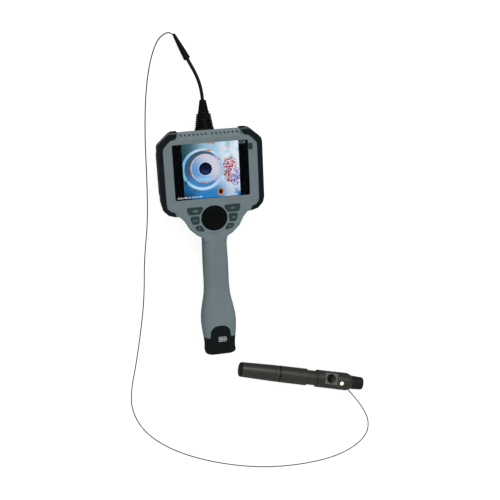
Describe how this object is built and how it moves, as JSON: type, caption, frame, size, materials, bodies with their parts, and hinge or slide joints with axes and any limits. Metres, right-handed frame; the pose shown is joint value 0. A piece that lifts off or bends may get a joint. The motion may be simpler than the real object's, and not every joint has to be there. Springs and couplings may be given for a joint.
{
  "type": "handheld inspection camera with probe",
  "caption": "Handheld screen camera with keypad and grip, a stiff lead, a thin insertion tube and a pen-shaped metal head with a side window and lamp.",
  "frame": {"origin": "on the resting plane, at the flat back plate under the centre of the screen", "axes": "+Z out of the screen, +Y along the handset towards the cable exit, +X to the screen's right"},
  "size_m": [0.3686, 0.6818, 0.0409],
  "materials": {
    "shell_grey": "fine texture",
    "rear_grey": "fine texture",
    "bumper_teal": "satin soft-touch",
    "guard_black": "matte soft-touch",
    "flap_black": "matte",
    "carrier_black": "moulded",
    "socket_metal": "nickel plated",
    "window_glass": "gloss",
    "lcd_black": "lit picture behind glass",
    "tab_green": "thin film",
    "bracket_steel": "stamped",
    "pcb_green": "solder mask",
    "chip_black": "moulded",
    "screw_steel": "machined",
    "screw_black": "black oxide",
    "switch_metal": "snap dome",
    "key_teal": "satin keypad rubber",
    "nav_black": "matte rubber",
    "gimbal_metal": "die cast",
    "base_black": "moulded",
    "tube_plastic": "moulded",
    "cell_wrap": "shrink wrap",
    "cap_black": "fine texture",
    "contact_brass": "spring contact",
    "socket_steel": "machined",
    "relief_rubber": "ribbed matte",
    "foot_rubber": "matte",
    "plate_dark": "fine texture",
    "lead_black": "satin jacket",
    "sleeve_black": "satin",
    "tube_dark": "smooth sheath",
    "pen_black": "satin",
    "seal_rubber": "o-ring",
    "pen_metal": "anodised satin",
    "head_metal": "machined, anodised",
    "lens_dark": "smoked",
    "module_black": "black",
    "lamp_clear": "frosted",
    "led_white": "lit LED",
    "nose_metal": "finely grooved",
    "gland_metal": "machined"
  },
  "bodies": {
    "handset": {"front_shell": "shell_grey", "rear_shell": "rear_grey", "bumper_left": "bumper_teal", "bumper_right": "bumper_teal", "rear_guard_left": "guard_black", "rear_guard_right": "guard_black", "port_carrier_left": "carrier_black", "port_carrier_right": "carrier_black", "port_sockets_left": "socket_metal", "port_sockets_right": "socket_metal", "display_window": "window_glass", "lcd_panel": "lcd_black", "screen_film_tab": "tab_green", "panel_bracket": "bracket_steel", "main_board": "pcb_green", "board_chips": "chip_black", "board_screws": "screw_steel", "keypad_screws": "screw_steel", "shell_screws": "screw_black", "keypad_board": "pcb_green", "key_switches": "switch_metal", "nav_base": "base_black", "battery_tube": "tube_plastic", "battery_cells": "cell_wrap", "probe_socket": "socket_steel", "strain_relief": "relief_rubber", "rest_feet": "foot_rubber", "back_plate": "plate_dark", "lead_cable": "lead_black", "transition_sleeve": "sleeve_black", "insertion_tube": "tube_dark", "rear_barrel": "pen_metal", "front_barrel": "pen_metal", "head_block": "head_metal", "window_lens": "lens_dark", "camera_module": "module_black", "lamp_lens": "lamp_clear", "lamp_led": "led_white", "nose_cap": "nose_metal", "pen_board": "pcb_green", "tube_gland": "gland_metal"},
    "key_1_left": {"key_1_left": "key_teal"},
    "key_1_right": {"key_1_right": "key_teal"},
    "key_2_left": {"key_2_left": "key_teal"},
    "key_2_right": {"key_2_right": "key_teal"},
    "key_3_left": {"key_3_left": "key_teal"},
    "key_3_right": {"key_3_right": "key_teal"},
    "nav_ring": {"nav_gimbal": "gimbal_metal"},
    "nav_pad": {"nav_pad": "nav_black"},
    "port_flap_left": {"port_flap_left": "flap_black"},
    "port_flap_right": {"port_flap_right": "flap_black"},
    "battery_cap": {"battery_cap": "cap_black", "cap_contact": "contact_brass"},
    "tail_cap": {"tail_cap": "pen_black", "tail_seal": "seal_rubber"}
  },
  "joints": [
    {"name": "key_1_left_press", "type": "slide", "parent": "handset", "child": "key_1_left", "axis": [0, 0, -1], "range_m": [0, 0.0007], "stiffness_N_per_m": 400, "springref_m": -0.0006},
    {"name": "key_1_right_press", "type": "slide", "parent": "handset", "child": "key_1_right", "axis": [0, 0, -1], "range_m": [0, 0.0007], "stiffness_N_per_m": 400, "springref_m": -0.0006},
    {"name": "key_2_left_press", "type": "slide", "parent": "handset", "child": "key_2_left", "axis": [0, 0, -1], "range_m": [0, 0.0007], "stiffness_N_per_m": 400, "springref_m": -0.0006},
    {"name": "key_2_right_press", "type": "slide", "parent": "handset", "child": "key_2_right", "axis": [0, 0, -1], "range_m": [0, 0.0007], "stiffness_N_per_m": 400, "springref_m": -0.0006},
    {"name": "key_3_left_press", "type": "slide", "parent": "handset", "child": "key_3_left", "axis": [0, 0, -1], "range_m": [0, 0.0007], "stiffness_N_per_m": 400, "springref_m": -0.0006},
    {"name": "key_3_right_press", "type": "slide", "parent": "handset", "child": "key_3_right", "axis": [0, 0, -1], "range_m": [0, 0.0007], "stiffness_N_per_m": 400, "springref_m": -0.0006},
    {"name": "nav_tilt_updown", "type": "hinge", "parent": "handset", "child": "nav_ring", "pos_m": [0, -0.0665, 0.0315], "axis": [1, 0, 0], "range_deg": [-5, 5], "stiffness_Nm_per_rad": 0.25},
    {"name": "nav_tilt_leftright", "type": "hinge", "parent": "nav_ring", "child": "nav_pad", "pos_m": [0, -0.0665, 0.0315], "axis": [0, 1, 0], "range_deg": [-5, 5], "stiffness_Nm_per_rad": 0.25},
    {"name": "port_flap_left_open", "type": "hinge", "parent": "handset", "child": "port_flap_left", "pos_m": [-0.0698, -0.0035, 0.0161], "axis": [0, -1, 0], "range_deg": [0, 100]},
    {"name": "port_flap_right_open", "type": "hinge", "parent": "handset", "child": "port_flap_right", "pos_m": [0.0698, -0.0035, 0.0161], "axis": [0, 1, 0], "range_deg": [0, 100]},
    {"name": "battery_cap_slide", "type": "slide", "parent": "handset", "child": "battery_cap", "axis": [0, -1, 0], "range_m": [0, 0.014]},
    {"name": "tail_cap_pull", "type": "slide", "parent": "handset", "child": "tail_cap", "axis": [-0.9664, 0.257, 0], "range_m": [0, 0.012]}
  ]
}
